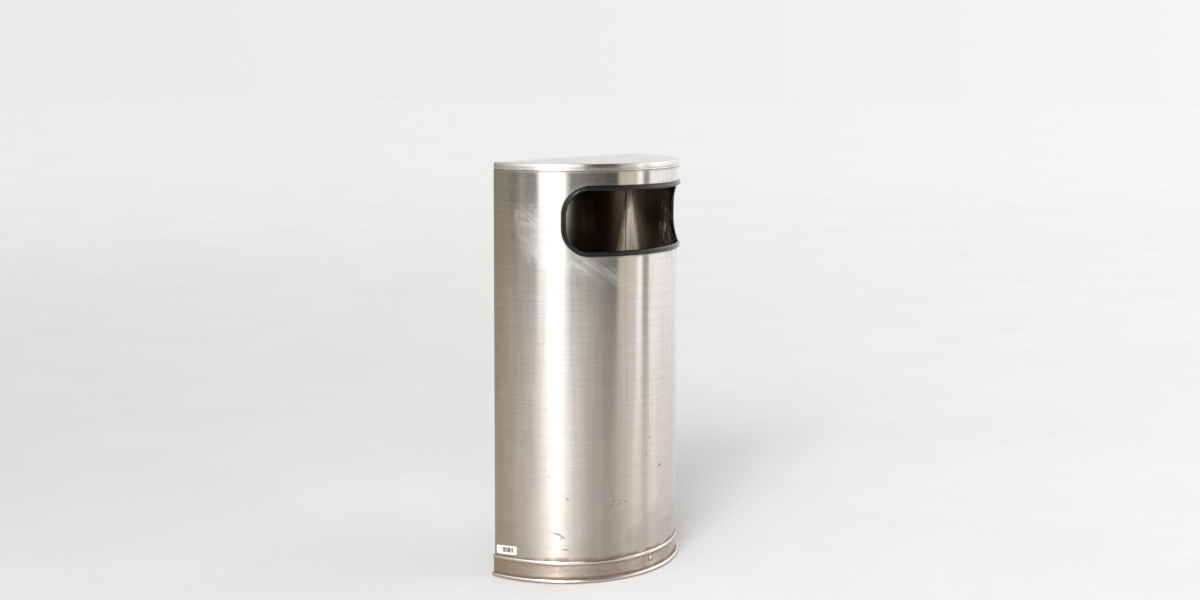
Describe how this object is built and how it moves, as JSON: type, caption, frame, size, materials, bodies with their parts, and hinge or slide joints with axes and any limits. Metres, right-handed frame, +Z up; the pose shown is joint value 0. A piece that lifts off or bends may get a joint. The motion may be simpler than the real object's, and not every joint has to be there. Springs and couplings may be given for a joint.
{
  "type": "litter bin",
  "caption": "Half-round stainless litter bin with a flat back, a trimmed front opening, a lift-off lid and a lift-out liner with a bail handle.",
  "frame": {"origin": "centre of the bounding box in plan, on the floor under the feet", "axes": "+Z up, +Y out of the flat back towards the wall, -Y out of the round front, +X to the right as seen from the front"},
  "size_m": [0.4716, 0.2358, 0.813],
  "materials": {
    "brushed_stainless": "stainless, brushed round the body, scuffed and grimy along its seams",
    "black_vinyl": "satin black extruded vinyl",
    "galvanised_steel": "dull galvanised sheet and wire",
    "rubber": "matt black rubber",
    "rivet_steel": "plain steel rivets, dulled",
    "label_film": "white film label with blank grey bars"
  },
  "bodies": {
    "bin": {"front_shell": "brushed_stainless", "back_panel": "brushed_stainless", "top_collar": "brushed_stainless", "opening_trim": "black_vinyl", "base_band": "brushed_stainless", "base_pan": "brushed_stainless", "base_rivet_front": "rivet_steel", "base_rivet_back_left": "rivet_steel", "base_rivet_back_right": "rivet_steel", "foot_front_left": "rubber", "foot_front_right": "rubber", "foot_back_left": "rubber", "foot_back_right": "rubber", "asset_label": "label_film"},
    "lid": {"lid_cap": "brushed_stainless"},
    "liner": {"liner_wall": "galvanised_steel", "liner_bottom": "galvanised_steel", "liner_ear_left": "galvanised_steel", "liner_ear_right": "galvanised_steel", "ear_rivet_left_upper": "rivet_steel", "ear_rivet_left_lower": "rivet_steel", "ear_rivet_right_upper": "rivet_steel", "ear_rivet_right_lower": "rivet_steel"},
    "bail": {"liner_bail": "galvanised_steel"}
  },
  "joints": [
    {"name": "lid_lift", "type": "slide", "parent": "bin", "child": "lid", "axis": [0, 0, 1], "range_m": [0, 0.9]},
    {"name": "liner_lift", "type": "slide", "parent": "bin", "child": "liner", "axis": [0, 0, 1], "range_m": [0, 0.81]},
    {"name": "bail_swing", "type": "hinge", "parent": "liner", "child": "bail", "pos_m": [0, 0.0229, 0.5565], "axis": [-1, 0, 0], "range_deg": [0, 130]}
  ],
  "couplings": [
    {"joint": "liner_lift", "follows": "lid_lift", "ratio": 0.9}
  ]
}
